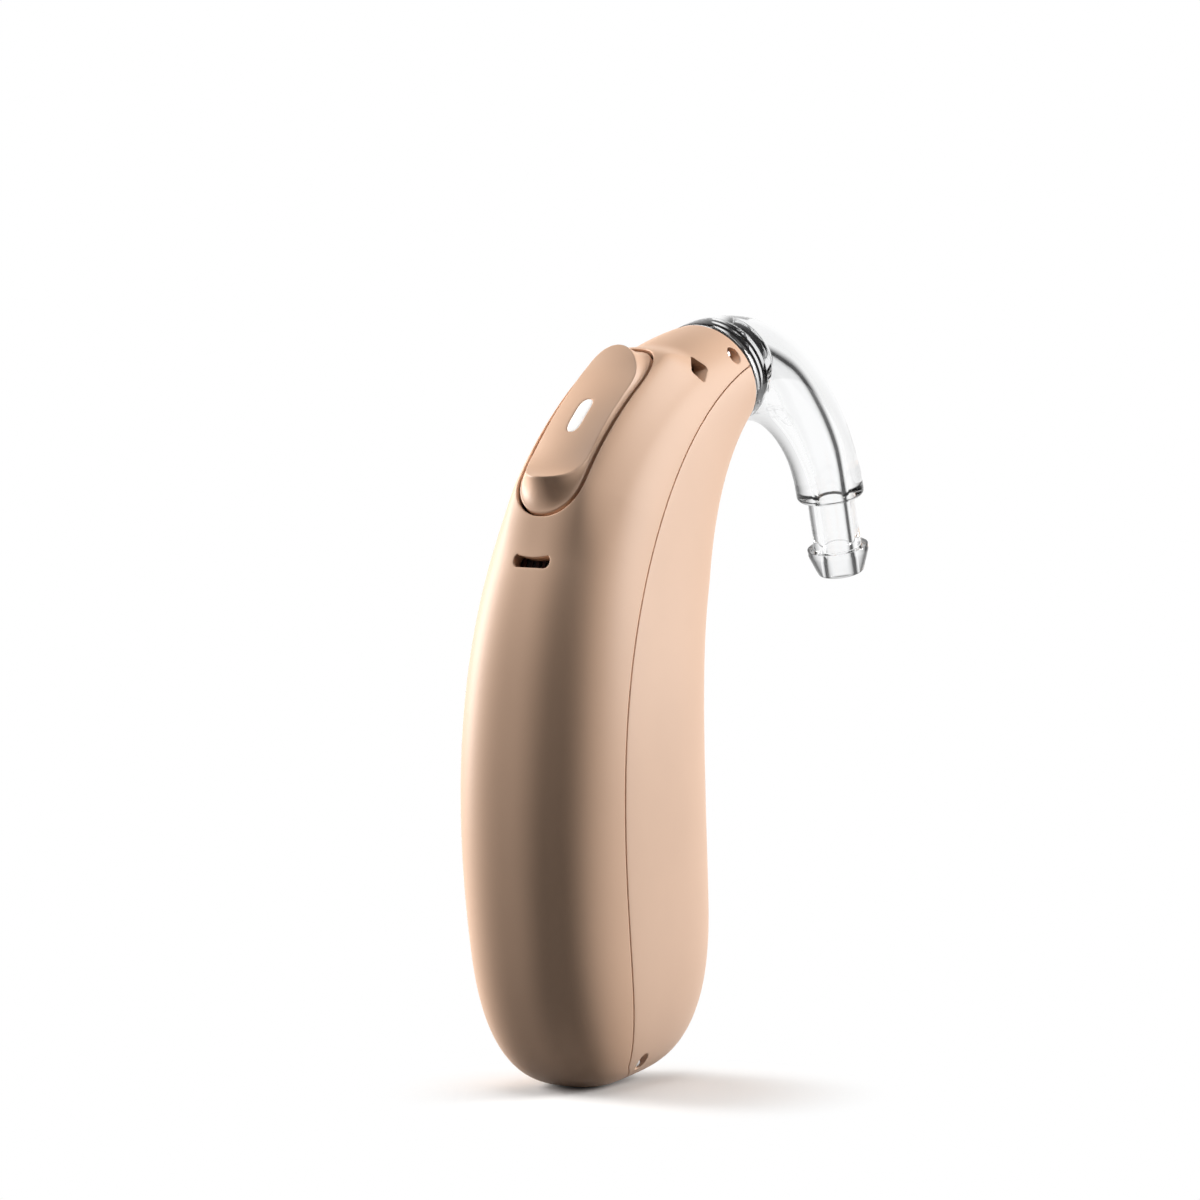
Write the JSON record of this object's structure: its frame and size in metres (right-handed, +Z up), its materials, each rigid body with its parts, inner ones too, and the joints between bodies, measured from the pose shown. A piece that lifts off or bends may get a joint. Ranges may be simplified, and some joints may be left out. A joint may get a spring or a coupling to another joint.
{
  "type": "behind-the-ear hearing aid",
  "caption": "Curved two-shell behind-the-ear hearing aid with a rocker and window on its spine, microphone ports, cross pins and a clear ear hook with a tube barb.",
  "frame": {"origin": "middle of the part's box in X and Y, at its lowest point, under the foot of the housing", "axes": "+Z up along the housing, +X from the spine to the ear side and the hook, Y across the thickness"},
  "size_m": [0.0331, 0.009, 0.038],
  "materials": {
    "shell_satin": "satin",
    "shell_pale": "satin",
    "seam_bead": "matte",
    "button_satin": "satin",
    "window": "frosted",
    "steel": "polished",
    "sheet_steel": "pressed",
    "silicone_dark": "matte",
    "switch_case": "matte",
    "plunger_white": "matte",
    "led_lens": "clear",
    "chassis_black": "fine matte",
    "board_green": "solder mask",
    "chip_black": "moulded",
    "copper_foil": "foil",
    "coil_wire": "enamelled",
    "mic_can": "plated",
    "screen_black": "mesh",
    "receiver_can": "drawn",
    "boot_rubber": "matte",
    "tube_silicone": "translucent",
    "nozzle_black": "polished",
    "hook_clear": "clear",
    "cell_steel": "drawn",
    "gold_plate": "plated"
  },
  "bodies": {
    "housing": {"outer_shell": "shell_satin", "inner_shell": "shell_pale", "shell_seal": "seam_bead", "rocker_axle": "steel", "rocker_bracket": "sheet_steel", "rocker_seal": "silicone_dark", "upper_switch": "switch_case", "lower_switch": "switch_case", "indicator_led": "led_lens", "chassis": "chassis_black", "main_board": "board_green", "signal_processor": "chip_black", "radio_chip": "chip_black", "power_chip": "chip_black", "antenna": "copper_foil", "telecoil": "coil_wire", "front_microphone": "mic_can", "front_mic_gasket": "silicone_dark", "front_mic_screens": "screen_black", "rear_microphone": "mic_can", "rear_mic_gasket": "silicone_dark", "rear_mic_screen": "screen_black", "receiver": "receiver_can", "receiver_boot": "boot_rubber", "sound_tube": "tube_silicone", "nozzle": "nozzle_black", "upper_pin": "steel", "lower_pin": "steel", "rechargeable_cell": "cell_steel", "cell_clip": "gold_plate", "charge_contacts": "gold_plate", "charge_leads": "copper_foil"},
    "rocker": {"rocker_button": "button_satin", "light_guide": "window"},
    "upper_plunger_body": {"upper_plunger": "plunger_white"},
    "lower_plunger_body": {"lower_plunger": "plunger_white"},
    "hook_ring": {"hook_gasket": "silicone_dark"},
    "hook": {"earhook": "hook_clear"}
  },
  "joints": [
    {"name": "rocker_tilt", "type": "hinge", "parent": "housing", "child": "rocker", "pos_m": [-0.00763, 0, 0.03199], "axis": [0, 1, 0], "range_deg": [-2, 2], "stiffness_Nm_per_rad": 0.1},
    {"name": "upper_press", "type": "slide", "parent": "housing", "child": "upper_plunger_body", "axis": [0.7621, 0, -0.6475], "range_m": [-0.00015, 0.00015]},
    {"name": "lower_press", "type": "slide", "parent": "housing", "child": "lower_plunger_body", "axis": [0.7621, 0, -0.6475], "range_m": [-0.00015, 0.00015]},
    {"name": "earhook_pull", "type": "slide", "parent": "housing", "child": "hook_ring", "axis": [0.9397, 0, 0.342], "range_m": [0, 0.003]},
    {"name": "earhook_swivel", "type": "hinge", "parent": "hook_ring", "child": "hook", "pos_m": [0.00189, 0, 0.03482], "axis": [0.9397, 0, 0.342], "range_deg": [-20, 20]}
  ],
  "couplings": [
    {"joint": "upper_press", "follows": "rocker_tilt", "m_per_rad": 0.0034},
    {"joint": "lower_press", "follows": "rocker_tilt", "m_per_rad": -0.0034}
  ]
}
